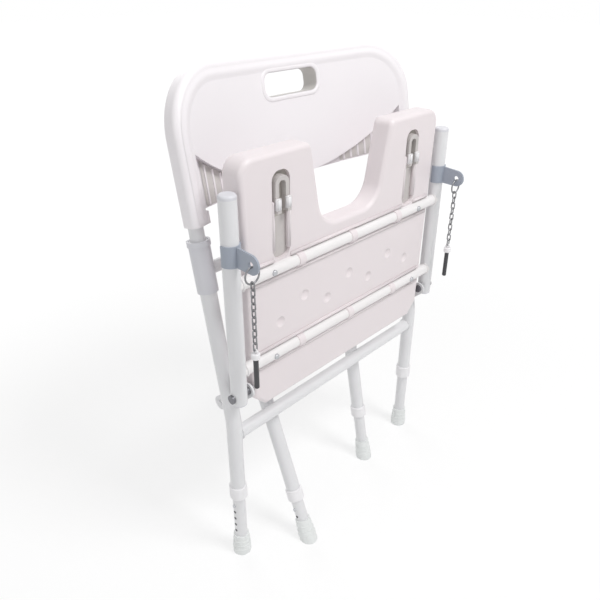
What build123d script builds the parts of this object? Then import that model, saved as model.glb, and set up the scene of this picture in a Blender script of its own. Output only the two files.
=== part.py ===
from build123d import *
import math
import os

# Folding shower chair, folded: millimetres, +X right, +Y to the rear, +Z up
# Outer legs and back uprights
LEG_X = 240
TUBE_R = 12.5
TUBE_BORE = 11.05
INSERT_R = 11.0
INSERT_BORE = 9.5
TUBE_WALL = 1.5
BEND_Z = 298
RAKE = 10
BEND_RADIUS = 90
UPRIGHT_TOP = 296
SLEEVE = (220, 289)
SLEEVE_R = 15.5
RING_R = 17
RING_TOP = 297
RING_CHAMFER = 1.5
CROSS_R = 11
CROSS_Z = 268
REAR_CROSS_S = 252
REAR_CROSS_R = 9.5

# Hinge gussets, seat hinge and inner leg pivot
HINGE_Y = -25
HINGE_Z = 364
PIVOT_Y = 47
PIVOT_Z = 300
PIN_R = 4
PIN_HEAD_R = 7
PIN_HEAD = 3.5
PIN_PLAY = 0.5
ROD_R = 5
ROD_OVERHANG = 2
RUNNING_GAP = 0.05
GUSSET = (225.5, 228.5)
GUSSET_R = 12

# Seat frame
RAIL_X = 246
RAIL_LOW = 352
RAIL_HIGH = 671
CAP_HEIGHT = 6
CAP_ROUND = 4
CAP_PLUG = 12
SEAT_TUBE_R = 9.5
FRONT_TUBE_Z = 547
REAR_TUBE_Z = 406
SEAT_TUBE_Y = -27

# Seat panel, whose underside faces the front while folded
SEAT_TOP = 713
SEAT_LOW = 318
SEAT_HALF_TOP = 227
SEAT_HALF_LOW = 217
SEAT_FRONT = -27
SEAT_THICK = 38
SEAT_CORNER = 24
SEAT_CHAMFER = 24
SEAT_EDGE = 7
CUT_LIP = 12
CUT_HALF_TOP = 93
CUT_HALF_LOW = 66
CUT_LOW = 582
CUT_CORNER = 44
CHANNEL_X = 154
CHANNEL_W = 34
CHANNEL_Z = (560, 688)
CHANNEL_DEPTH = 6
CHANNEL_CORNER = 14
DIMPLE_STEP = 53
DIMPLE_Z = (481, 455)
DIMPLE_R = 9
DIMPLE_DEPTH = 4
CLIP_Z = 661
CLIP_W = 26
CLIP_H = 40
CLIP_BAR = 6.5
CLIP_PROUD = 3
TAB_Z = 640
TAB_SIZE = (7, 20)
TAB_PROUD = 7
SCREW_X = 178
SCREW_R = 4.5
SCREW_TALL = 4
SCREW_SUNK = 1.5
SCREW_ROUND = 1.8

# Lock plates and their tethered pins
PLATE_T = 3
PLATE_Z = 595
PLATE_TIP_Y = -66
PLATE_TIP_R = 14
PLATE_ROOT_R = 15
LOCK_HOLE_R = 4.5
TIP_DROP = 2
CLASP_T = 2
CLASP_REACH = 3
WIRE_R = 1.3
WIRE_GAP = 0.3
TETHER_RING_R = 12
LINK_WIRE = 1.1
LINK_LENGTH = 15
LINK_WIDTH = 8.4
LINK_COUNT = 10
EYE_R = 3.4
STOP_R = 6.5
STOP_HEIGHT = 9
STOP_ROUND = 1.5
LOCK_PIN_R = 3.8
LOCK_PIN_LENGTH = 50
LOCK_PIN_ROUND = 2

# Backrest
BACK_RADIUS = 730
BACK_FRONT = 22
BACK_THICK = 30
BACK_SKIN = 5
BACK_RIM = 14
RIM_ROUND = 9
BACK_HALF = 256
BACK_TOP = 525
BACK_LOW = 336
BACK_CORNER = 92
ARM_LOW = 318
ARM_INNER = 222
SMILE_HALF = 228
SMILE_END = 412
SMILE_LOW = 337
CORNER_DEPTH = 11
SLOT_HALF = 57
SLOT_Z = (462, 497)
SLOT_CORNER = 13
SLOT_WALL = 8
BAND_HEIGHT = 600
DEPTH = (-100, 100)
STUB = (225, 400)

# Legs: distances along each leg from the floor
FOOT_TOP = 42
FOOT_R = 16
FOOT_NECK_R = 13.5
FOOT_SOLE = 16
FOOT_STEPS = (-12, 8, 20)
FOOT_WAIST = 1
OUTER_COLLAR = (134, 160)
COLLAR_R = 15
COLLAR_LIP = 5
COLLAR_CHAMFER = 1.2
COLLAR_PLAY = 0.3
INSERT_INSIDE = 85
BUTTON_R = 3
BUTTON_DROP = 18
BUTTON_REACH = 13.6
BUTTON_FLANGE = (6.2, 8.2)
BUTTON_ROUND = 2
INNER_LEGS = {
    "left": {"x": -140, "lean": 21.4, "collar": (84, 106)},
    "right": {"x": 98, "lean": 11.1, "collar": (104, 126)},
}
INNER_TOP = 15
PLUG_TALL = 4
PLUG_ROUND = 2.5

UP = (0, 0, 1)
LOW_END = (Align.CENTER, Align.CENTER, Align.MIN)
BIG = 2000
nodes = {}


def rod(radius, low, high):
    return Pos(0, 0, low) * Cylinder(radius, high - low, align=LOW_END)


def pipe(radius, bore, low, high):
    return rod(radius, low, high) - rod(bore, low - 1, high + 1)


def across(radius, low, high, y, z):
    return Location((0, y, z), (0, 90, 0)) * rod(radius, low, high)


def cross_pipe(radius, reach, y, z):
    return across(radius, -reach, reach, y, z) - across(radius - TUBE_WALL, -reach, reach, y, z)


def mirrored(name, solid):
    nodes[name + "_left"] = solid
    nodes[name + "_right"] = mirror(solid, about=Plane.YZ)


def raked(shape):
    return Location((0, 0, BEND_Z), (-RAKE, 0, 0)) * shape


def prism(sketch, front, rear):
    """Extrudes an outline drawn in X and Z from the front depth to the rear depth."""
    return Pos(0, rear, 0) * extrude(Plane.XZ * sketch, rear - front)


def frame_path(low):
    rake = math.radians(RAKE)
    top = (-LEG_X, UPRIGHT_TOP * math.sin(rake), BEND_Z + UPRIGHT_TOP * math.cos(rake))
    return FilletPolyline((-LEG_X, 0, low), (-LEG_X, 0, BEND_Z), top, radius=BEND_RADIUS)


def along(path, radius):
    return sweep(Plane(path @ 0, z_dir=path % 0) * Circle(radius), path=path)


# Rear frame
leg_path = frame_path(OUTER_COLLAR[0] + COLLAR_LIP)
leg_outside = along(leg_path, TUBE_R)
mirrored("frame_tube", leg_outside - along(leg_path, TUBE_BORE))
upright = Pos(-LEG_X, 0, 0)
mirrored("sleeve", raked(upright * pipe(SLEEVE_R, TUBE_R, *SLEEVE)))
ring = pipe(RING_R, TUBE_R, SLEEVE[1], RING_TOP)
ring = chamfer(ring.edges().filter_by(GeomType.CIRCLE).sort_by(Axis.Z)[-1:], RING_CHAMFER)
mirrored("sleeve_ring", raked(upright * ring))
cross = cross_pipe(CROSS_R, LEG_X, 0, CROSS_Z)
nodes["lower_cross_tube"] = cross - leg_outside - mirror(leg_outside, about=Plane.YZ)
rear_cross = cross_pipe(REAR_CROSS_R, LEG_X, 0, REAR_CROSS_S)
for side in (-1, 1):
    rear_cross -= Pos(side * LEG_X, 0, 0) * rod(SLEEVE_R, 0, UPRIGHT_TOP)
nodes["rear_cross_tube"] = raked(rear_cross)

# Gussets carry the seat hinge in front and the inner legs' rod behind
hinge_end = Pos(HINGE_Y, HINGE_Z) * Circle(GUSSET_R)
pivot_end = Pos(PIVOT_Y, PIVOT_Z) * Circle(GUSSET_R)
outline = make_hull(hinge_end.edges() + pivot_end.edges())
outline -= Pos(HINGE_Y, HINGE_Z) * Circle(PIN_R + RUNNING_GAP)
outline -= Pos(PIVOT_Y, PIVOT_Z) * Circle(ROD_R)
gusset = Pos(-GUSSET[1], 0, 0) * extrude(Plane.YZ * outline, GUSSET[1] - GUSSET[0])
mirrored("gusset", gusset - leg_outside)
rod_reach = GUSSET[1] + ROD_OVERHANG
nodes["pivot_rod"] = across(ROD_R, -rod_reach, rod_reach, PIVOT_Y, PIVOT_Z)

# Seat rails, caps and hinge pins
rail_at = Pos(-RAIL_X, HINGE_Y, 0)
rail_outside = rail_at * rod(TUBE_R, RAIL_LOW, RAIL_HIGH)
pin_hole = across(PIN_R, -RAIL_X - TUBE_R - 1, -RAIL_X + TUBE_R + 1, HINGE_Y, HINGE_Z)
mirrored("rail", rail_at * pipe(TUBE_R, TUBE_BORE, RAIL_LOW, RAIL_HIGH) - pin_hole)
cap = rod(TUBE_R, RAIL_HIGH, RAIL_HIGH + CAP_HEIGHT)
cap = fillet(cap.edges().sort_by(Axis.Z)[-1:], CAP_ROUND)
mirrored("rail_cap", rail_at * (cap + rod(INSERT_R, RAIL_HIGH - CAP_PLUG, RAIL_HIGH)))
pin_out, pin_in = -RAIL_X - TUBE_R - PIN_HEAD, -GUSSET[0] + PIN_PLAY + PIN_HEAD
pin = across(PIN_R, pin_out + 1, pin_in - 1, HINGE_Y, HINGE_Z)
pin += across(PIN_HEAD_R, pin_out, -RAIL_X - TUBE_R, HINGE_Y, HINGE_Z) - rail_outside
pin += across(PIN_HEAD_R, -RAIL_X, -GUSSET[1] - PIN_PLAY, HINGE_Y, HINGE_Z) - rail_outside
pin += across(PIN_HEAD_R, -GUSSET[0] + PIN_PLAY, pin_in, HINGE_Y, HINGE_Z)
mirrored("hinge_pin", pin)
for name, height in (("front", FRONT_TUBE_Z), ("rear", REAR_TUBE_Z)):
    bar = cross_pipe(SEAT_TUBE_R, RAIL_X, SEAT_TUBE_Y, height)
    nodes["seat_tube_" + name] = bar - rail_outside - mirror(rail_outside, about=Plane.YZ)

# Seat panel with its front cut-out, tube grooves, channels and dimples
half_low = SEAT_HALF_LOW - SEAT_CHAMFER
panel_outline = Polyline(
    (half_low, SEAT_LOW), (SEAT_HALF_LOW, SEAT_LOW + SEAT_CHAMFER), (SEAT_HALF_TOP, SEAT_TOP),
    (-SEAT_HALF_TOP, SEAT_TOP), (-SEAT_HALF_LOW, SEAT_LOW + SEAT_CHAMFER), (-half_low, SEAT_LOW), close=True)
panel_face = make_face(panel_outline)
panel_face = fillet(panel_face.vertices().sort_by(Axis.Y)[-2:], SEAT_CORNER)
cut_line = Polyline(
    (CUT_HALF_TOP, SEAT_TOP + 1), (CUT_HALF_LOW, CUT_LOW), (-CUT_HALF_LOW, CUT_LOW),
    (-CUT_HALF_TOP, SEAT_TOP + 1), close=True)
cut_face = make_face(cut_line)
cut_face = fillet(cut_face.vertices().sort_by(Axis.Y)[:2], CUT_CORNER)
panel_face -= cut_face
lips = [v for v in panel_face.vertices() if v.Y > SEAT_TOP - 1 and abs(v.X) < CUT_HALF_TOP + 5]
panel_face = fillet(lips, CUT_LIP)
panel = prism(panel_face, SEAT_FRONT, SEAT_FRONT + SEAT_THICK)
panel = fillet(panel.faces().sort_by(Axis.Y)[0].outer_wire().edges(), SEAT_EDGE)
panel = fillet(panel.faces().sort_by(Axis.Y)[-1].outer_wire().edges(), SEAT_EDGE)
for height in (FRONT_TUBE_Z, REAR_TUBE_Z):
    panel -= across(SEAT_TUBE_R, -RAIL_X, RAIL_X, SEAT_TUBE_Y, height)
channel_length = CHANNEL_Z[1] - CHANNEL_Z[0]
for side in (-1, 1):
    channel = RectangleRounded(CHANNEL_W, channel_length, CHANNEL_CORNER)
    channel = Pos(side * CHANNEL_X, sum(CHANNEL_Z) / 2) * channel
    panel -= prism(channel, SEAT_FRONT - 1, SEAT_FRONT + CHANNEL_DEPTH)
dimple_ball = (DIMPLE_R ** 2 + DIMPLE_DEPTH ** 2) / (2 * DIMPLE_DEPTH)
for i in range(-3, 4):
    place = (i * DIMPLE_STEP, SEAT_FRONT + DIMPLE_DEPTH - dimple_ball, DIMPLE_Z[i % 2])
    panel -= Pos(*place) * Sphere(dimple_ball)
nodes["seat_panel"] = panel

# Clips at the head of the channels, and screws through the seat tubes
gap_w = CLIP_W - 2 * CLIP_BAR
gap = Pos(0, -CLIP_BAR - 0.5) * RectangleRounded(gap_w, CLIP_H, gap_w / 2 - 0.5)
arch = Pos(-CHANNEL_X, CLIP_Z) * (RectangleRounded(CLIP_W, CLIP_H, CLIP_W / 2 - 1) - gap)
clip_floor = SEAT_FRONT + CHANNEL_DEPTH
clip = prism(arch, SEAT_FRONT - CLIP_PROUD, clip_floor)
for side in (-1, 1):
    tab_x = -CHANNEL_X + side * (CLIP_W - TAB_SIZE[0]) / 2
    clip += prism(Pos(tab_x, TAB_Z) * Rectangle(*TAB_SIZE), SEAT_FRONT - TAB_PROUD, clip_floor)
mirrored("seat_clip", clip)
screw_y = SEAT_TUBE_Y - SEAT_TUBE_R + SCREW_SUNK
screws = []
for x in (-SCREW_X, SCREW_X):
    for height in (FRONT_TUBE_Z, REAR_TUBE_Z):
        head = Location((x, screw_y, height), (90, 0, 0)) * rod(SCREW_R, 0, SCREW_TALL)
        head = fillet(head.edges().sort_by(Axis.Y)[:1], SCREW_ROUND)
        screws.append(head - across(SEAT_TUBE_R, -RAIL_X, RAIL_X, SEAT_TUBE_Y, height))
nodes["seat_screws"] = Compound(children=screws)

# Lock plates: a tongue that stands forward of each rail
root = Pos(HINGE_Y, PLATE_Z) * Circle(PLATE_ROOT_R)
tip = Pos(PLATE_TIP_Y, PLATE_Z - TIP_DROP) * Circle(PLATE_TIP_R)
tongue = make_hull(root.edges() + tip.edges())
tongue -= Pos(PLATE_TIP_Y, PLATE_Z - TIP_DROP) * Circle(LOCK_HOLE_R)
plate = Pos(-RAIL_X - PLATE_T / 2, 0, 0) * extrude(Plane.YZ * tongue, PLATE_T)
clasp = rail_at * pipe(TUBE_R + CLASP_T, TUBE_R, PLATE_Z - PLATE_ROOT_R, PLATE_Z + PLATE_ROOT_R)
behind_rail = Pos(-RAIL_X, HINGE_Y + BIG / 2 + CLASP_REACH, 0) * Box(BIG, BIG, BIG)
mirrored("lock_plate", plate - rail_outside + clasp - behind_rail)


def link(turn, height):
    """One oval chain link, upright, turned about its own height."""
    r = LINK_WIDTH / 2 - LINK_WIRE
    h = LINK_LENGTH / 2 - LINK_WIDTH / 2
    path = Wire([
        Edge.make_line((r, 0, -h), (r, 0, h)),
        Edge.make_three_point_arc((r, 0, h), (0, 0, h + r), (-r, 0, h)),
        Edge.make_line((-r, 0, h), (-r, 0, -h)),
        Edge.make_three_point_arc((-r, 0, -h), (0, 0, -h - r), (r, 0, -h)),
    ])
    section = Plane(origin=(r, 0, -h), z_dir=UP) * RegularPolygon(LINK_WIRE, 6)
    return Location((0, 0, height), (0, 0, turn)) * sweep(section, path=path)


# Tethers: ring, chain links, stop and lock pin
ring_top = PLATE_Z - TIP_DROP - LOCK_HOLE_R + WIRE_R + WIRE_GAP
ring_mid = ring_top - TETHER_RING_R
wire_ring = Location((0, 0, ring_mid), (90, 0, 0)) * Torus(TETHER_RING_R, WIRE_R)
tether_at = Pos(-RAIL_X, PLATE_TIP_Y, 0)
mirrored("tether_ring", tether_at * wire_ring)
link_step = LINK_LENGTH - 4 * LINK_WIRE - WIRE_GAP
first_link = ring_mid - TETHER_RING_R + WIRE_R + 2 * LINK_WIRE + WIRE_GAP - LINK_LENGTH / 2
links = [link(90 * ((i + 1) % 2), first_link - i * link_step) for i in range(LINK_COUNT)]
mirrored("chain", tether_at * Compound(children=links))
last_link = first_link - (LINK_COUNT - 1) * link_step
eye_z = last_link - LINK_LENGTH / 2 + 3 * LINK_WIRE + WIRE_GAP
eye_turn = 90 * ((LINK_COUNT + 1) % 2)
eye = Pos(0, 0, eye_z - EYE_R) * Rot(0, 0, eye_turn) * Rot(90, 0, 0) * Torus(EYE_R, LINK_WIRE)
stop_top = eye_z - 2 * EYE_R
stop = rod(STOP_R, stop_top - STOP_HEIGHT, stop_top)
stop = fillet(stop.edges().filter_by(GeomType.CIRCLE), STOP_ROUND)
mirrored("pin_stop", tether_at * (stop + eye))
lock_pin = rod(LOCK_PIN_R, stop_top - STOP_HEIGHT - LOCK_PIN_LENGTH, stop_top - STOP_HEIGHT)
lock_pin = fillet(lock_pin.edges().sort_by(Axis.Z)[:1], LOCK_PIN_ROUND)
mirrored("lock_pin", tether_at * lock_pin)

# Backrest shell, curved in plan, with side arms over its two stubs
curve_centre = BACK_FRONT - BACK_RADIUS


def band(front, rear):
    """A slice of the curved back between two depths behind its front face, along the rake."""
    outer = Pos(0, curve_centre, 0) * rod(BACK_RADIUS + rear, 0, BAND_HEIGHT)
    return outer - Pos(0, curve_centre, 0) * rod(BACK_RADIUS + front, -1, BAND_HEIGHT + 1)


def back_outline(inset):
    half, top = BACK_HALF - inset, BACK_TOP - inset
    face = Pos(0, (ARM_LOW + top) / 2) * Rectangle(2 * half, top - ARM_LOW)
    return fillet(face.vertices().sort_by(Axis.Y)[-2:], BACK_CORNER - inset)


def below_smile(low, rise):
    """The area under the pad's lower edge, an arc that turns up to the sides."""
    end, mid = (SMILE_HALF, SMILE_END + rise), (0, SMILE_LOW + rise)
    edge = ThreePointArc((-SMILE_HALF, SMILE_END + rise), mid, end)
    sides = Polyline(end, (SMILE_HALF, low), (-SMILE_HALF, low), (-SMILE_HALF, SMILE_END + rise))
    return make_face(edge + sides)


front_face = back_outline(0)
front_face -= Pos(0, (ARM_LOW + BACK_LOW) / 2) * Rectangle(2 * ARM_INNER, BACK_LOW - ARM_LOW)
slot_place = Pos(0, sum(SLOT_Z) / 2)
slot_height = SLOT_Z[1] - SLOT_Z[0]
slot = RectangleRounded(2 * SLOT_HALF, slot_height, SLOT_CORNER)
slot_rim = RectangleRounded(2 * (SLOT_HALF + SLOT_WALL), slot_height + 2 * SLOT_WALL, SLOT_CORNER + SLOT_WALL)
shell = band(0, BACK_THICK) & prism(front_face, *DEPTH)
rim = [e for e in shell.edges() if e.center().Z > SMILE_LOW and e.length > RIM_ROUND]
rim = [e for e in rim if abs(e.center().X) > BACK_HALF - BACK_CORNER or e.center().Z > BACK_TOP - 1]
shell = fillet(rim, RIM_ROUND)
shell -= prism(below_smile(BACK_LOW - 1, 0), *DEPTH) & band(-1, CORNER_DEPTH)
hollow = back_outline(BACK_RIM) - below_smile(ARM_LOW - 1, BACK_RIM) - slot_place * slot_rim
for side in (-1, 1):
    hollow -= Pos(side * LEG_X, STUB[1]) * Rectangle(2 * (LEG_X - ARM_INNER), STUB[1] / 2)
shell -= prism(hollow, *DEPTH) & band(BACK_SKIN, BACK_THICK + 1)
shell -= prism(slot_place * slot, *DEPTH)
for side in (-1, 1):
    shell -= Pos(side * LEG_X, 0, 0) * rod(INSERT_R, ARM_LOW - 1, STUB[1])
nodes["back_shell"] = raked(shell)
mirrored("back_stub", raked(upright * pipe(INSERT_R, INSERT_BORE, *STUB)))


def extension(name, button_turn, collar, top, place):
    """The sliding foot end of one leg: insert, rubber foot and snap button, set on its leg's axis."""
    button_z = collar[0] - BUTTON_DROP
    aim = Location((0, 0, button_z), (0, 90, 0))
    insert = pipe(INSERT_R, INSERT_BORE, FOOT_SOLE, top)
    out = Location((0, 0, 0), (0, 0, button_turn))
    insert -= out * aim * rod(BUTTON_R + RUNNING_GAP, 0, TUBE_R)
    nodes["insert_" + name] = place * insert
    profile = make_face(Polyline(
        (0, FOOT_STEPS[0]), (FOOT_R, FOOT_STEPS[0]), (FOOT_R, FOOT_STEPS[1]),
        (FOOT_NECK_R + FOOT_WAIST, FOOT_STEPS[2]), (FOOT_NECK_R, FOOT_TOP),
        (INSERT_R, FOOT_TOP), (INSERT_R, FOOT_SOLE), (0, FOOT_SOLE), close=True))
    foot = place * revolve(Plane.XZ * profile, axis=Axis.Z)
    nodes["foot_" + name] = foot & Pos(0, 0, BIG / 2) * Box(BIG, BIG, BIG)
    button = rod(BUTTON_R, BUTTON_FLANGE[0], BUTTON_REACH)
    button = fillet(button.edges().sort_by(Axis.Z)[-1:], BUTTON_ROUND)
    button += rod(BUTTON_R + 1, *BUTTON_FLANGE)
    nodes["button_" + name] = place * out * aim * button


def end_collar(collar):
    body = pipe(COLLAR_R, TUBE_R, collar[0] + COLLAR_LIP, collar[1])
    body += pipe(COLLAR_R, INSERT_R + COLLAR_PLAY, collar[0], collar[0] + COLLAR_LIP)
    return chamfer(body.edges().filter_by(GeomType.CIRCLE).sort_by(SortBy.RADIUS)[-2:], COLLAR_CHAMFER)


# Outer leg ends
for name, side in (("outer_left", -1), ("outer_right", 1)):
    place = Pos(side * LEG_X, 0, 0)
    nodes["collar_" + name] = place * end_collar(OUTER_COLLAR)
    extension(name, 180 if side < 0 else 0, OUTER_COLLAR, OUTER_COLLAR[1] + INSERT_INSIDE, place)

# Inner legs, each on the pivot rod at its own lean
for name, leg in INNER_LEGS.items():
    lean = math.radians(leg["lean"])
    length = PIVOT_Z / math.cos(lean)
    foot_y = PIVOT_Y - PIVOT_Z * math.tan(lean)
    place = Location((leg["x"], foot_y, 0), (-leg["lean"], 0, 0))
    tube = pipe(TUBE_R, TUBE_BORE, leg["collar"][0] + COLLAR_LIP, length + INNER_TOP)
    tube -= across(ROD_R + RUNNING_GAP, -2 * TUBE_R, 2 * TUBE_R, 0, length)
    nodes["inner_leg_" + name] = place * tube
    plug = rod(TUBE_R, length + INNER_TOP, length + INNER_TOP + PLUG_TALL)
    nodes["inner_plug_" + name] = place * fillet(plug.edges().sort_by(Axis.Z)[-1:], PLUG_ROUND)
    nodes["collar_inner_" + name] = place * end_collar(leg["collar"])
    turn = 180 if leg["x"] < 0 else 0
    extension("inner_" + name, turn, leg["collar"], leg["collar"][1] + INSERT_INSIDE, place)

# The origin goes to the middle of the footprint on the floor
boxes = [solid.bounding_box() for solid in nodes.values()]
middle_y = (min(b.min.Y for b in boxes) + max(b.max.Y for b in boxes)) / 2
shift = Pos(0, -round(middle_y, 1), 0)
os.makedirs("parts", exist_ok=True)
for name, solid in nodes.items():
    export_step(shift * solid, os.path.join("parts", name + ".step"))
print("nodes", len(nodes), "shift", shift.position.Y)
print("tether ring top", ring_top, "pin low", stop_top - STOP_HEIGHT - LOCK_PIN_LENGTH)
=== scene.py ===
import math

import bmesh
import bpy
from mathutils import Matrix, Vector


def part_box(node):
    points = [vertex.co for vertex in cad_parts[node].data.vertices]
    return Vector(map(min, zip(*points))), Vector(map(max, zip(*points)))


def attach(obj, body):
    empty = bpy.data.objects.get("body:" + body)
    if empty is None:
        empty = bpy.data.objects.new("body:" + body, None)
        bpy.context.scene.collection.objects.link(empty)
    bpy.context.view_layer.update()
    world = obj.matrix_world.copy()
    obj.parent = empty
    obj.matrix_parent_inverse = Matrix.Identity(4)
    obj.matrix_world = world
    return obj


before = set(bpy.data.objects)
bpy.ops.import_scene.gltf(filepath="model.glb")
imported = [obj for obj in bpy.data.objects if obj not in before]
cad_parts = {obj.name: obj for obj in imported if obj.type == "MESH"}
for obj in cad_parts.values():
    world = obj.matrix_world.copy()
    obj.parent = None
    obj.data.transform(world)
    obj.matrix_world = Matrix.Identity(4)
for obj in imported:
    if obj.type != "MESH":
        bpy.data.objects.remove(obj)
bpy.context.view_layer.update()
scene = bpy.context.scene

MM = 0.001
SIDES = (-1, 1)

# Tubes and main lines of the folded chair, in metres, in its own frame
TUBE_R = 0.0125
CROSS_R = 0.011
INSERT_R = 0.011
SEAT_TUBE_R = 0.0095
SHIFT_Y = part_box("lower_cross_tube")[0].y + CROSS_R
LEG_X = 0.240
RAIL_X = 0.246
RAIL_Y = SHIFT_Y - 0.025
CROSS_Z = 0.268
OUTER_COLLAR = 0.134
PIVOT_Y = SHIFT_Y + 0.047
PIVOT_Z = 0.300
# Each inner leg's place across the chair, its lean, and its collar's height along it
INNER_LEGS = {
    "left": (-0.140, math.radians(21.4), 0.084),
    "right": (0.098, math.radians(11.1), 0.104),
}
# The seat stands upright, so its underside faces the front and its tubes lie in that face
SEAT_FRONT = SHIFT_Y - 0.027
SEAT_REAR = SEAT_FRONT + 0.038
SEAT_TUBE_Y = SEAT_FRONT
SEAT_TUBES = {"front": 0.547, "rear": 0.406}


# Finishes
def mottle_group():
    """Slow tint drift, fine grain and roughness variation shared by every finish."""
    group = bpy.data.node_groups.new("mottle", "ShaderNodeTree")
    for name, kind, value in (
            ("Tint", "NodeSocketColor", (0.9, 0.9, 0.9, 1)),
            ("Shade", "NodeSocketColor", (0.8, 0.8, 0.8, 1)),
            ("Drift Scale", "NodeSocketFloat", 6.0),
            ("Grain Scale", "NodeSocketFloat", 900.0),
            ("Rough Low", "NodeSocketFloat", 0.35),
            ("Rough High", "NodeSocketFloat", 0.5)):
        group.interface.new_socket(name, in_out="INPUT", socket_type=kind).default_value = value
    for name, kind in (
            ("Color", "NodeSocketColor"),
            ("Roughness", "NodeSocketFloat"),
            ("Height", "NodeSocketFloat")):
        group.interface.new_socket(name, in_out="OUTPUT", socket_type=kind)
    tree, link = group.nodes, group.links.new
    source, sink = tree.new("NodeGroupInput"), tree.new("NodeGroupOutput")
    place = tree.new("ShaderNodeTexCoord")
    drift, grain = tree.new("ShaderNodeTexNoise"), tree.new("ShaderNodeTexNoise")
    drift.inputs["Detail"].default_value = 3
    grain.inputs["Detail"].default_value = 2
    for noise, scale in ((drift, "Drift Scale"), (grain, "Grain Scale")):
        link(place.outputs["Object"], noise.inputs["Vector"])
        link(source.outputs[scale], noise.inputs["Scale"])
    blend = tree.new("ShaderNodeMix")
    blend.data_type = "RGBA"
    link(drift.outputs["Fac"], blend.inputs["Factor"])
    link(source.outputs["Tint"], blend.inputs["A"])
    link(source.outputs["Shade"], blend.inputs["B"])
    spread = tree.new("ShaderNodeMapRange")
    link(grain.outputs["Fac"], spread.inputs["Value"])
    link(source.outputs["Rough Low"], spread.inputs["To Min"])
    link(source.outputs["Rough High"], spread.inputs["To Max"])
    link(blend.outputs["Result"], sink.inputs["Color"])
    link(spread.outputs["Result"], sink.inputs["Roughness"])
    link(grain.outputs["Fac"], sink.inputs["Height"])
    return group


MOTTLE = mottle_group()
BUMP_DEPTH = 0.4 * MM


def finish(name, tint, shade, rough,
           grain=900.0, bump=0.08, drift=6.0, metallic=0.0, coat=0.0):
    """A material whose colour drifts from tint to shade, over a grain that varies its gloss."""
    material = bpy.data.materials.new(name)
    material.use_nodes = True
    tree, link = material.node_tree.nodes, material.node_tree.links.new
    shader = tree["Principled BSDF"]
    shader.inputs["Metallic"].default_value = metallic
    shader.inputs["Coat Weight"].default_value = coat
    mottle = tree.new("ShaderNodeGroup")
    mottle.node_tree = MOTTLE
    for socket, value in (
            ("Tint", (*tint, 1)), ("Shade", (*shade, 1)),
            ("Drift Scale", drift), ("Grain Scale", grain),
            ("Rough Low", rough[0]), ("Rough High", rough[1])):
        mottle.inputs[socket].default_value = value
    bumps = tree.new("ShaderNodeBump")
    bumps.inputs["Strength"].default_value = bump
    bumps.inputs["Distance"].default_value = BUMP_DEPTH
    link(mottle.outputs["Color"], shader.inputs["Base Color"])
    link(mottle.outputs["Roughness"], shader.inputs["Roughness"])
    link(mottle.outputs["Height"], bumps.inputs["Height"])
    link(bumps.outputs["Normal"], shader.inputs["Normal"])
    return material


seat_plastic = finish(
    "seat_plastic", (0.82, 0.755, 0.768), (0.78, 0.72, 0.734), (0.30, 0.43), bump=0.10)
back_plastic = finish(
    "back_plastic", (0.89, 0.86, 0.88), (0.86, 0.83, 0.85), (0.38, 0.50), bump=0.10)
# Painted shade: a greyer colour for the seat's channel floors and clips, standing in for the shade
# down in the channels
painted_recess_shade = finish(
    "painted_recess_shade", (0.60, 0.57, 0.555), (0.53, 0.50, 0.49), (0.50, 0.62), bump=0.12, drift=40)
# Painted shade: a greyer colour for the backrest's corner recesses and the handle slot's wall
painted_soft_shade = finish(
    "painted_soft_shade", (0.66, 0.64, 0.62), (0.58, 0.56, 0.54), (0.50, 0.62), bump=0.12, drift=40)
# Painted shade for the narrow gaps beside the seat tubes and at the clips' heads
gap_shade = finish(
    "gap_shade", (0.47, 0.445, 0.41), (0.38, 0.36, 0.33), (0.60, 0.70), drift=40)
grey_plastic = finish(
    "grey_plastic", (0.70, 0.70, 0.73), (0.66, 0.66, 0.70), (0.35, 0.48))
white_plastic = finish(
    "white_plastic", (0.88, 0.87, 0.885), (0.84, 0.83, 0.845), (0.32, 0.45))
tube_paint = finish(
    "tube_paint", (0.79, 0.79, 0.80), (0.73, 0.73, 0.745), (0.24, 0.36),
    grain=2200, bump=0.05, coat=0.2)
white_paint = finish(
    "white_paint", (0.87, 0.85, 0.85), (0.83, 0.81, 0.81), (0.24, 0.36),
    grain=2200, bump=0.05, coat=0.2)
plate_paint = finish(
    "plate_paint", (0.385, 0.42, 0.485), (0.33, 0.365, 0.43), (0.30, 0.42), grain=1800, bump=0.05)
pin_black = finish(
    "pin_black", (0.035, 0.035, 0.04), (0.06, 0.06, 0.065), (0.35, 0.5), grain=1500)
# Painted shade: the dark inside of the holes in the leg inserts
painted_hole_shade = finish(
    "painted_hole_shade", (0.05, 0.05, 0.06), (0.08, 0.08, 0.09), (0.6, 0.7))
chain_steel = finish(
    "chain_steel", (0.20, 0.20, 0.21), (0.32, 0.32, 0.33), (0.28, 0.45),
    grain=1500, drift=60, metallic=0.9)
dark_steel = finish(
    "dark_steel", (0.16, 0.16, 0.175), (0.24, 0.24, 0.255), (0.28, 0.42),
    grain=1500, drift=50, metallic=0.9)
bright_steel = finish(
    "bright_steel", (0.56, 0.57, 0.59), (0.48, 0.49, 0.51), (0.25, 0.4),
    grain=1500, drift=40, metallic=0.9)
foot_rubber = finish(
    "foot_rubber", (0.83, 0.85, 0.84), (0.77, 0.79, 0.785), (0.45, 0.58), grain=700, bump=0.12)

# What each CAD node is finished in, by how its name starts. The rest is painted tube.
NODE_FINISHES = (
    (("seat_panel",), seat_plastic),
    # The clips are coloured in the channels' painted shade
    (("seat_clip",), painted_recess_shade),
    (("back_shell",), back_plastic),
    (("sleeve", "inner_plug", "rail_cap"), grey_plastic),
    (("collar", "pin_stop"), white_plastic),
    (("seat_tube",), white_paint),
    (("lock_plate",), plate_paint),
    (("lock_pin",), pin_black),
    (("chain", "tether_ring"), chain_steel),
    (("hinge_pin",), dark_steel),
    (("seat_screws", "button"), bright_steel),
    (("foot",), foot_rubber),
)


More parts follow.
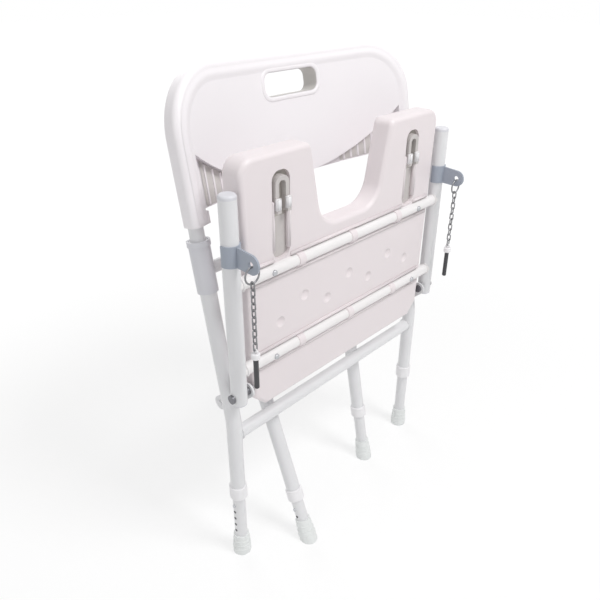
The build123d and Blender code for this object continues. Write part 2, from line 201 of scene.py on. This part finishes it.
def node_finish(name):
    for starts, material in NODE_FINISHES:
        if name.startswith(starts):
            return material
    return tube_paint


for name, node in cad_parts.items():
    node.data.materials.clear()
    node.data.materials.append(node_finish(name))


# Shapes
def add(name, data):
    """Puts a mesh, a lamp or the camera into the scene."""
    made = bpy.data.objects.new(name, data)
    scene.collection.objects.link(made)
    return made


def mesh_data(name, mesh):
    data = bpy.data.meshes.new(name)
    mesh.to_mesh(data)
    mesh.free()
    return data


def piece(name, mesh, material, body, smooth=True):
    """A finished piece that moves with one body of the chair."""
    mesh.normal_update()
    data = mesh_data(name, mesh)
    for face in data.polygons:
        face.use_smooth = smooth
    data.materials.append(material)
    made = add(name, data)
    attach(made, body)


# Turned profiles keep this far off their axis, so that no face folds onto it
AXIS_R = 0.1 * MM


def lathe(mesh, profile, place, steps=40):
    """Turns a closed profile of radius and height about Z, then moves it to its place."""
    rings = []
    for i in range(steps):
        turn = 2 * math.pi * i / steps
        rings.append([
            mesh.verts.new(place @ Vector((r * math.cos(turn), r * math.sin(turn), z)))
            for r, z in profile])
    for a, b in zip(rings, rings[1:] + rings[:1]):
        for j in range(len(profile)):
            k = (j + 1) % len(profile)
            mesh.faces.new((a[j], b[j], b[k], a[k]))


def bead(radius, thick, height, sides):
    """The closed round profile of a bead about a tube."""
    turns = [2 * math.pi * i / sides for i in range(sides)]
    return [(radius + thick * math.cos(t), height + thick * math.sin(t)) for t in turns]


def skin(mesh, rows):
    """Joins rows of points round a closed section, and closes both ends."""
    for a, b in zip(rows, rows[1:]):
        for j in range(len(a)):
            k = (j + 1) % len(a)
            mesh.faces.new((a[j], a[k], b[k], b[j]))
    mesh.faces.new(rows[0][::-1])
    mesh.faces.new(rows[-1])


def leg_place(x, lean, foot_y):
    return Matrix.Translation((x, foot_y, 0)) @ Matrix.Rotation(-lean, 4, "X")


# Each leg's place, its collar's height along it, and the side its holes face
LEG_ENDS = {}
for side, sign in (("left", -1), ("right", 1)):
    LEG_ENDS["outer_" + side] = (leg_place(sign * LEG_X, 0, SHIFT_Y), OUTER_COLLAR, sign)
    x, lean, collar = INNER_LEGS[side]
    foot_y = PIVOT_Y - PIVOT_Z * math.tan(lean)
    LEG_ENDS["inner_" + side] = (leg_place(x, lean, foot_y), collar, sign)

# Ribs round each rubber foot, which tapers above its straight base
FOOT_R = 0.0158
FOOT_STRAIGHT = 0.008
FOOT_TAPER = 0.08
FOOT_RIB_HEIGHTS = (0.012, 0.021, 0.030)
FOOT_RIB_R = 0.9 * MM
FOOT_RIB_SIDES = 8
# The row of holes down each insert, as discs of painted shade sunk in its side, for the dark inside
# of each hole
HOLE_R = 2.6 * MM
HOLE_STEP = 0.015
HOLE_BELOW_COLLAR = 0.018
HOLE_LOWEST = 0.050
HOLE_FACETS = 20
HOLE_BED = INSERT_R - 0.4 * MM
HOLE_PROFILE = (
    (AXIS_R, HOLE_BED), (HOLE_R, HOLE_BED),
    (HOLE_R, INSERT_R + 0.1 * MM), (AXIS_R, INSERT_R + 0.15 * MM))
for end, (place, collar, sign) in LEG_ENDS.items():
    body = "extension_" + end
    grips = bmesh.new()
    for height in FOOT_RIB_HEIGHTS:
        reach = FOOT_R - FOOT_TAPER * max(height - FOOT_STRAIGHT, 0)
        lathe(grips, bead(reach, FOOT_RIB_R, height, FOOT_RIB_SIDES), place)
    piece("foot_ribs_" + end, grips, foot_rubber, body)
    holes = bmesh.new()
    to_side = Matrix.Rotation(sign * math.pi / 2, 4, "Y")
    height = collar - HOLE_BELOW_COLLAR - HOLE_STEP
    while height > HOLE_LOWEST:
        spot = place @ Matrix.Translation((0, 0, height)) @ to_side
        lathe(holes, HOLE_PROFILE, spot, HOLE_FACETS)
        height -= HOLE_STEP
    piece("insert_holes_" + end, holes, painted_hole_shade, body)

# Weld beads where cross tubes meet their uprights
WELD_R = 1.5 * MM
WELD_LIFT = 0.4 * MM
WELD_SIDES = 10
LEG_FACE = LEG_X - TUBE_R + 1.6 * MM
RAIL_FACE = RAIL_X - TUBE_R + 1.2 * MM
ALONG_X = Matrix.Rotation(math.pi / 2, 4, "Y")
for name, radius, y, z, reach, body, paint in (
        ("lower", CROSS_R, SHIFT_Y, CROSS_Z, LEG_FACE, "rear_frame", tube_paint),
        ("front_seat", SEAT_TUBE_R, SEAT_TUBE_Y, SEAT_TUBES["front"], RAIL_FACE, "seat", white_paint),
        ("rear_seat", SEAT_TUBE_R, SEAT_TUBE_Y, SEAT_TUBES["rear"], RAIL_FACE, "seat", white_paint)):
    welds = bmesh.new()
    for sign in SIDES:
        spot = Matrix.Translation((sign * reach, y, z)) @ ALONG_X
        lathe(welds, bead(radius + WELD_LIFT, WELD_R, 0, WELD_SIDES), spot)
    piece("welds_" + name, welds, paint, body)


# Underside of the seat
def bar(mesh, across, up, proud, deep=0.4 * MM, corner=1.2 * MM):
    """A strip between two places in X and two in Z, with its front edges rounded."""
    made = bmesh.ops.create_cube(mesh, size=1)["verts"]
    (left, right), (low, high) = sorted(across), sorted(up)
    size = Vector((right - left, proud + deep, high - low))
    middle = Vector(((left + right) / 2, SEAT_FRONT + (deep - proud) / 2, (low + high) / 2))
    for vert in made:
        vert.co = vert.co * size + middle
    edges = {edge for vert in made for edge in vert.link_edges}
    front = [e for e in edges if max(v.co.y for v in e.verts) < middle.y]
    bmesh.ops.bevel(mesh, geom=front, offset=corner, segments=3, affect="EDGES")


CHANNEL_X = 0.154
CHANNEL_HALF = 17 * MM
CHANNEL_DEPTH = 6 * MM

# Lips along the grooves of the seat tubes, with a strip of painted shade in the gap between lip and
# tube
LIP_GAP = 1.8 * MM
LIP_TALL = 5.5 * MM
LIP_PROUD = 3.4 * MM
LIP_HALF = {"front": 0.212, "rear": 0.206}
GAP_PROUD = 0.1 * MM
GAP_CORNER = 0.03 * MM
lips, gap_shade_strips = bmesh.new(), bmesh.new()
for name, height in SEAT_TUBES.items():
    half = LIP_HALF[name]
    for sign in SIDES:
        edge = height + sign * SEAT_TUBE_R
        near = edge + sign * LIP_GAP
        far = near + sign * LIP_TALL
        runs = [(-half, half)]
        if name == "front" and sign > 0:
            inner, outer = CHANNEL_X - CHANNEL_HALF, CHANNEL_X + CHANNEL_HALF
            runs = [(-half, -outer), (-inner, inner), (outer, half)]
        for run in runs:
            bar(lips, run, (near, far), LIP_PROUD)
            bar(gap_shade_strips, run, (edge, near), GAP_PROUD, corner=GAP_CORNER)
piece("seat_groove_lips", lips, seat_plastic, "seat")
piece("seat_groove_gap_shade", gap_shade_strips, gap_shade, "seat", smooth=False)

# Saddles over the seat tubes. The section gives shares of their half width and thickness.
SADDLE_X = (-0.120, 0.0, 0.120)
SADDLE_HALF = 7 * MM
SADDLE_THICK = 1.4 * MM
SADDLE_CLEAR = 0.05 * MM
SADDLE_SECTION = ((-1, 0), (-0.9, 1), (0.9, 1), (1, 0))
SADDLE_REACH = math.radians(84)
SADDLE_STEPS = 14
saddles = bmesh.new()
for height in SEAT_TUBES.values():
    for middle in SADDLE_X:
        rows = []
        for i in range(SADDLE_STEPS + 1):
            turn = SADDLE_REACH * (2 * i / SADDLE_STEPS - 1)
            out = Vector((0, -math.cos(turn), math.sin(turn)))
            row = []
            for across, thick in SADDLE_SECTION:
                spot = Vector((middle + across * SADDLE_HALF, SEAT_TUBE_Y, height))
                reach = SEAT_TUBE_R + SADDLE_CLEAR + thick * SADDLE_THICK
                row.append(saddles.verts.new(spot + reach * out))
            rows.append(row)
        skin(saddles, rows)
bmesh.ops.recalc_face_normals(saddles, faces=saddles.faces)
piece("seat_tube_saddles", saddles, seat_plastic, "seat", smooth=False)

# Walls down both sides of each channel
WALL_Z = (0.572, 0.646)
WALL_THICK = 4.2 * MM
WALL_OVERLAP = 1.2 * MM
WALL_PROUD = 1.4 * MM
walls = bmesh.new()
for sign in SIDES:
    for side in SIDES:
        outer = sign * CHANNEL_X + side * (CHANNEL_HALF + WALL_OVERLAP)
        inner = sign * CHANNEL_X + side * (CHANNEL_HALF - WALL_THICK)
        bar(walls, (outer, inner), WALL_Z, WALL_PROUD, CHANNEL_DEPTH)
piece("seat_channel_walls", walls, seat_plastic, "seat")

# Channel floors in painted shade, with darker painted shade at the head behind each clip
CHANNEL_Z = (0.560, 0.688)
CHANNEL_CORNER = 14 * MM
CHANNEL_STEPS = 8
# Height where the darker painted shade at each channel's head begins
CLIP_SHADE_LOW = 0.622
FLOOR_LIFT = 0.15 * MM


def channel_outline(low, high, round_top):
    """Points in X and Z of one channel's floor, with a round head or foot."""
    half, corner = CHANNEL_HALF - FLOOR_LIFT, CHANNEL_CORNER
    round_z, flat_z = (high, low) if round_top else (low, high)
    up = 1 if round_top else -1
    points = [(-half, flat_z)]
    for side, start in ((-1, math.pi), (1, math.pi / 2)):
        for i in range(CHANNEL_STEPS + 1):
            turn = start - math.pi / 2 * i / CHANNEL_STEPS
            points.append((side * (half - corner) + corner * math.cos(turn),
                           round_z - up * corner + up * corner * math.sin(turn)))
    return points + [(half, flat_z)]


def channel_floors(name, low, high, round_top, material):
    level = SEAT_FRONT + CHANNEL_DEPTH - FLOOR_LIFT
    outline = channel_outline(low, high, round_top)
    mesh = bmesh.new()
    for sign in SIDES:
        face = mesh.faces.new([mesh.verts.new((sign * CHANNEL_X + x, level, z)) for x, z in outline])
        face.normal_update()
        if face.normal.y > 0:
            face.normal_flip()
    piece(name, mesh, material, "seat", smooth=False)


channel_floors("seat_channel_floor_shade", CHANNEL_Z[0] + FLOOR_LIFT, CLIP_SHADE_LOW, False, painted_recess_shade)
channel_floors("seat_clip_head_shade", CLIP_SHADE_LOW, CHANNEL_Z[1] - FLOOR_LIFT, True, gap_shade)

# Pale caps on the clips' four tabs, which start in front of the seat's face
TAB_X = 9.5 * MM
TAB_HALF = 4.0 * MM
TAB_Z = (0.634, 0.6505)
TAB_BACK = -2 * MM
TAB_PROUD = 7.5 * MM
TAB_CORNER = 0.9 * MM
tabs = bmesh.new()
for sign in SIDES:
    for side in SIDES:
        x = sign * CHANNEL_X + side * TAB_X
        bar(tabs, (x - TAB_HALF, x + TAB_HALF), TAB_Z, TAB_PROUD, TAB_BACK, TAB_CORNER)
piece("seat_clip_tabs", tabs, white_plastic, "seat")

# Plugs that close the rails' lower ends
RAIL_LOW = 0.352
PLUG_TALL = 3 * MM
PLUG_FACE_R = TUBE_R - 2 * MM
PLUG_PROFILE = (
    (AXIS_R, -PLUG_TALL), (PLUG_FACE_R, -PLUG_TALL), (TUBE_R - 0.6 * MM, -PLUG_TALL * 0.6),
    (TUBE_R, -0.1 * MM), (PLUG_FACE_R, 0.1 * MM), (AXIS_R, 0.1 * MM))
plugs = bmesh.new()
for sign in SIDES:
    lathe(plugs, PLUG_PROFILE, Matrix.Translation((sign * RAIL_X, RAIL_Y, RAIL_LOW)))
piece("rail_end_plugs", plugs, grey_plastic, "seat")

# Grip studs on the sitting face, clear of the cut-out and the rounded edges.
# Half widths are given at the low and the high end of the seat and of its cut-out.
SEAT_Z = (0.318, 0.713)
SEAT_HALF = (0.217, 0.227)
CUT_HALF = (0.066, 0.093)
CUT_LOW = 0.582
STUD_STEP = 0.021
STUD_ROW_STEP = STUD_STEP * 0.87
STUD_CLEAR = 0.026
STUD_FACETS = 14
STUD_PROFILE = [
    (r * MM, z * MM) for r, z in ((0.1, -0.4), (3.6, -0.4), (3.3, 0.35), (2.2, 0.75), (0.1, 0.85))]
TO_REAR = Matrix.Rotation(-math.pi / 2, 4, "X")
studs = bmesh.new()
row = 0
height = SEAT_Z[0] + STUD_CLEAR
while height < SEAT_Z[1] - STUD_CLEAR:
    rise = (height - SEAT_Z[0]) / (SEAT_Z[1] - SEAT_Z[0])
    half = SEAT_HALF[0] + rise * (SEAT_HALF[1] - SEAT_HALF[0]) - STUD_CLEAR
    keep_out = 0
    if height >= CUT_LOW - STUD_CLEAR:
        cut_rise = max((height - CUT_LOW) / (SEAT_Z[1] - CUT_LOW), 0)
        keep_out = CUT_HALF[0] + cut_rise * (CUT_HALF[1] - CUT_HALF[0]) + STUD_CLEAR
    count = int(2 * half / STUD_STEP)
    for i in range(-count, count + 1):
        x = (i + 0.5 * (row % 2)) * STUD_STEP
        if keep_out <= abs(x) < half:
            spot = Matrix.Translation((x, SEAT_REAR, height)) @ TO_REAR
            lathe(studs, STUD_PROFILE, spot, STUD_FACETS)
    height += STUD_ROW_STEP
    row += 1
piece("seat_grip_studs", studs, seat_plastic, "seat")

# Backrest: its rake starts at the frame's bend, and its front curves round the sitter
BEND_Z = 0.298
RAKE = math.radians(10)
BACK_RADIUS = 0.730
BACK_FRONT = 0.022
BACK_HALF = 0.256
BACK_TOP = 0.525
BACK_LOW = 0.336
BACK_CORNER = 0.092
ARM_LOW = 0.318
# The pad's lower edge turns up to the sides, above a recess in each lower corner
PAD_LOW = 0.337
PAD_HALF = 0.228
PAD_RISE = 0.075
CORNER_DEPTH = 0.011


def on_back(x, along, depth):
    """A point by its width, its height along the rake and its depth behind the front."""
    local_y = BACK_FRONT + depth - (BACK_RADIUS - math.sqrt(BACK_RADIUS ** 2 - x * x))
    y = along * math.sin(RAKE) + local_y * math.cos(RAKE) + SHIFT_Y
    return Vector((x, y, BEND_Z + along * math.cos(RAKE) - local_y * math.sin(RAKE)))


def pad_edge(x):
    """Height of the pad's lower edge at a width."""
    radius = (PAD_HALF ** 2 + PAD_RISE ** 2) / (2 * PAD_RISE)
    return PAD_LOW + radius - math.sqrt(radius ** 2 - x * x)


# Upright ribs in the corner recesses
RIB_START = 0.110
RIB_STEP = 0.016
RIB_COUNT = 7
RIB_HALF = 2.2 * MM
RIB_CREST = RIB_HALF * 0.7
RIB_PROUD = 1.8 * MM
RIB_SINK = 0.3 * MM
RIB_CLEAR = 0.003
RIB_SECTION = (
    (-RIB_HALF, RIB_SINK), (-RIB_CREST, -RIB_PROUD), (RIB_CREST, -RIB_PROUD), (RIB_HALF, RIB_SINK))
ribs = bmesh.new()
for sign in SIDES:
    for i in range(RIB_COUNT):
        x = sign * (RIB_START + i * RIB_STEP)
        skin(ribs, [
            [ribs.verts.new(on_back(x + dx, along, CORNER_DEPTH + dy)) for dx, dy in RIB_SECTION]
            for along in (BACK_LOW + RIB_CLEAR, pad_edge(x) - RIB_CLEAR)])
bmesh.ops.recalc_face_normals(ribs, faces=ribs.faces)
piece("back_corner_ribs", ribs, back_plastic, "backrest", smooth=False)

# Floor of the corner recesses behind the ribs, as a sheet in painted shade
SHADE_X = (0.100, 0.214)
SHADE_STEPS = 12
SHADE_LIFT = 0.2 * MM
SHADE_LOW_CLEAR = 0.002
SHADE_TOP_CLEAR = 0.001
shades = bmesh.new()
for sign in SIDES:
    columns = []
    for i in range(SHADE_STEPS + 1):
        x = sign * (SHADE_X[0] + (SHADE_X[1] - SHADE_X[0]) * i / SHADE_STEPS)
        ends = (BACK_LOW + SHADE_LOW_CLEAR, pad_edge(x) - SHADE_TOP_CLEAR)
        columns.append([shades.verts.new(on_back(x, s, CORNER_DEPTH - SHADE_LIFT)) for s in ends])
    for a, b in zip(columns, columns[1:]):
        order = (a[0], b[0], b[1], a[1])
        shades.faces.new(order if sign > 0 else order[::-1])
piece("back_corner_shades", shades, painted_soft_shade, "backrest")


# Paths on the backrest's front are points in width and height, each with its outward direction
def round_corner(middle, radius, start, steps):
    """A quarter turn from its starting angle, anticlockwise seen from the front."""
    for i in range(steps + 1):
        turn = start + math.pi / 2 * i / steps
        out = Vector((math.cos(turn), math.sin(turn)))
        yield Vector(middle) + radius * out, out


def level_run(half, height, up, steps):
    """The run between two corners, from right to left where up is 1."""
    for i in range(1, steps):
        yield Vector((up * half * (1 - 2 * i / steps), height)), Vector((0, up))


def loft(mesh, path, section, closed):
    """Carries a section of outward offsets and depths along a path on the front."""
    rows = [[mesh.verts.new(on_back(*(point + out * offset), depth)) for offset, depth in section]
            for point, out in path]
    following = rows[1:] + rows[:1] if closed else rows[1:]
    for a, b in zip(rows, following):
        for j in range(len(section) - 1):
            mesh.faces.new((a[j], a[j + 1], b[j + 1], b[j]))
    bmesh.ops.recalc_face_normals(mesh, faces=mesh.faces)


def section_angles(low, high):
    """Angles 20 degrees apart, along which a rounded section is drawn."""
    return [math.radians(d) for d in range(low, high + 1, 20)]


# Rolled edge, up one arm, over the top and down the other
EDGE_INSET = 0.0185
EDGE_HALF = 0.0095
EDGE_PROUD = 1.7 * MM
EDGE_SINK = 0.1 * MM
ARM_CLEAR = 0.004
ARM_STEPS = 9
EDGE_CORNER_STEPS = 12
TOP_STEPS = 24
edge_x, edge_top = BACK_HALF - EDGE_INSET, BACK_TOP - EDGE_INSET
edge_corner = BACK_CORNER - EDGE_INSET
corner_x, corner_z = edge_x - edge_corner, edge_top - edge_corner
arm_low = ARM_LOW + ARM_CLEAR
arm_heights = [arm_low + (corner_z - arm_low) * i / ARM_STEPS for i in range(ARM_STEPS)]
edge_path = [(Vector((edge_x, s)), Vector((1, 0))) for s in arm_heights]
edge_path += round_corner((corner_x, corner_z), edge_corner, 0, EDGE_CORNER_STEPS)
edge_path += level_run(corner_x, edge_top, 1, TOP_STEPS)
edge_path += round_corner((-corner_x, corner_z), edge_corner, math.pi / 2, EDGE_CORNER_STEPS)
edge_path += [(Vector((-edge_x, s)), Vector((-1, 0))) for s in reversed(arm_heights)]
edge_section = [(EDGE_HALF * a / math.pi, EDGE_SINK - EDGE_PROUD * (1 + math.cos(a)) / 2)
                for a in section_angles(-180, 180)]
rolled = bmesh.new()
loft(rolled, edge_path, edge_section, False)
piece("back_rolled_edge", rolled, back_plastic, "backrest")

# Rounded lip of the handle slot, and a liner in painted shade over its wall
SLOT_HALF = 0.057
SLOT_Z = (0.462, 0.497)
SLOT_CORNER = 0.013
SLOT_CORNER_STEPS = 8
SLOT_RUN_STEPS = 12
SLOT_LIP = 3.6 * MM
SLOT_LIP_PROUD = 1.4 * MM
SLOT_LIP_SINK = 0.3 * MM
SLOT_WALL_INSET = 0.25 * MM
SLOT_WALL_DEPTHS = (1.0 * MM, 10 * MM, 29 * MM)
slot_mid, slot_tall = sum(SLOT_Z) / 2, (SLOT_Z[1] - SLOT_Z[0]) / 2
slot_run = SLOT_HALF - SLOT_CORNER
slot_path = []
for sx, sz, start in ((1, 1, 0), (-1, 1, 90), (-1, -1, 180), (1, -1, 270)):
    middle = (sx * slot_run, slot_mid + sz * (slot_tall - SLOT_CORNER))
    slot_path += round_corner(middle, SLOT_CORNER, math.radians(start), SLOT_CORNER_STEPS)
    if sx == sz:
        slot_path += level_run(slot_run, slot_mid + sz * slot_tall, sz, SLOT_RUN_STEPS)
lip_section = [(SLOT_LIP * (1 - math.cos(a)),
                SLOT_LIP_SINK - (SLOT_LIP_PROUD + SLOT_LIP_SINK) * math.sin(a))
               for a in section_angles(0, 180)]
slot_lip = bmesh.new()
loft(slot_lip, slot_path, lip_section, True)
piece("handle_slot_lip", slot_lip, back_plastic, "backrest")
slot_wall = bmesh.new()
loft(slot_wall, slot_path, [(-SLOT_WALL_INSET, depth) for depth in SLOT_WALL_DEPTHS], True)
bmesh.ops.reverse_faces(slot_wall, faces=slot_wall.faces)
piece("handle_slot_wall_shade", slot_wall, painted_soft_shade, "backrest")


# Stage: white floor and surroundings, soft lamps, and the camera at the photograph's angle
def seen_rays(tree, link):
    """One where the camera, or a glossy or clear surface, looks straight at the background."""
    path = tree.new("ShaderNodeLightPath")
    total = path.outputs["Is Camera Ray"]
    for ray in ("Is Glossy Ray", "Is Transmission Ray"):
        more = tree.new("ShaderNodeMath")
        more.operation = "MAXIMUM"
        link(total, more.inputs[0])
        link(path.outputs[ray], more.inputs[1])
        total = more.outputs[0]
    return total


# The floor glows white, and less so near the feet, so that the chair's shadow shows there
FLOOR_SIZE = 12
FLOOR_COLOUR = (0.92, 0.92, 0.92, 1)
FLOOR_GLOW = 1.04
SHADOW_NEAR, SHADOW_FAR = 0.55, 1.6
SHADOW_SHARE = 0.36
pale = bpy.data.materials.new("pale_floor")
pale.use_nodes = True
tree, link = pale.node_tree.nodes, pale.node_tree.links.new
tree.remove(tree["Principled BSDF"])
diffuse, glow = tree.new("ShaderNodeBsdfDiffuse"), tree.new("ShaderNodeEmission")
mix = tree.new("ShaderNodeMixShader")
diffuse.inputs["Color"].default_value = FLOOR_COLOUR
glow.inputs["Strength"].default_value = FLOOR_GLOW
place, reach = tree.new("ShaderNodeTexCoord"), tree.new("ShaderNodeVectorMath")
reach.operation = "LENGTH"
link(place.outputs["Object"], reach.inputs[0])
fade = tree.new("ShaderNodeMapRange")
fade.interpolation_type = "SMOOTHSTEP"
fade.inputs["From Min"].default_value = SHADOW_NEAR
fade.inputs["From Max"].default_value = SHADOW_FAR
fade.inputs["To Min"].default_value = 1 - SHADOW_SHARE
fade.inputs["To Max"].default_value = 1.0
link(reach.outputs["Value"], fade.inputs["Value"])
share = tree.new("ShaderNodeMath")
share.operation = "MULTIPLY"
link(seen_rays(tree, link), share.inputs[0])
link(fade.outputs["Result"], share.inputs[1])
link(share.outputs[0], mix.inputs["Fac"])
link(diffuse.outputs[0], mix.inputs[1])
link(glow.outputs[0], mix.inputs[2])
link(mix.outputs[0], tree["Material Output"].inputs["Surface"])
floor_mesh = bmesh.new()
bmesh.ops.create_grid(floor_mesh, x_segments=1, y_segments=1, size=FLOOR_SIZE)
floor = add("floor", mesh_data("floor", floor_mesh))
floor.data.materials.append(pale)

# The surroundings are seen as white, and light the chair with less than that
SKY_LIGHT, SKY_SEEN = 0.46, 1.0
world = bpy.data.worlds.new("studio")
scene.world = world
world.use_nodes = True
tree, link = world.node_tree.nodes, world.node_tree.links.new
sky = tree["Background"]
sky.inputs["Color"].default_value = (1, 1, 1, 1)
lift = tree.new("ShaderNodeMapRange")
lift.inputs["To Min"].default_value = SKY_LIGHT
lift.inputs["To Max"].default_value = SKY_SEEN
link(seen_rays(tree, link), lift.inputs["Value"])
link(lift.outputs["Result"], sky.inputs["Strength"])

CHAIR_MIDDLE = Vector((0, SHIFT_Y, 0.42))


def facing(direction):
    return direction.to_track_quat("-Z", "Y").to_euler()


def lamp(name, place, size, power):
    """A square lamp, its side in metres and its power in watts, turned to the chair."""
    light = bpy.data.lights.new(name, "AREA")
    light.size = size
    light.energy = power
    made = add(name, light)
    made.location = place
    made.rotation_euler = facing(CHAIR_MIDDLE - Vector(place))


lamp("key", (0.4, -1.6, 2.8), 0.9, 42)
lamp("top", (-0.3, 0.2, 2.8), 1.6, 8)
lamp("side", (-2.4, -0.9, 1.3), 1.6, 8)
lamp("rear", (0.9, 2.5, 1.9), 1.8, 16)

FOCAL_PIXELS, FRAME_PIXELS = 597.1, 600
camera = bpy.data.cameras.new("camera")
camera.sensor_fit = "HORIZONTAL"
camera.sensor_width = 36
camera.lens = camera.sensor_width * FOCAL_PIXELS / FRAME_PIXELS
eye = add("camera", camera)
eye.location = (-0.6959, -0.5802 + SHIFT_Y, 0.920)
eye.rotation_euler = facing(Vector((0.632, 0.604, -0.485)))
scene.camera = eye
scene.view_settings.view_transform = "Standard"
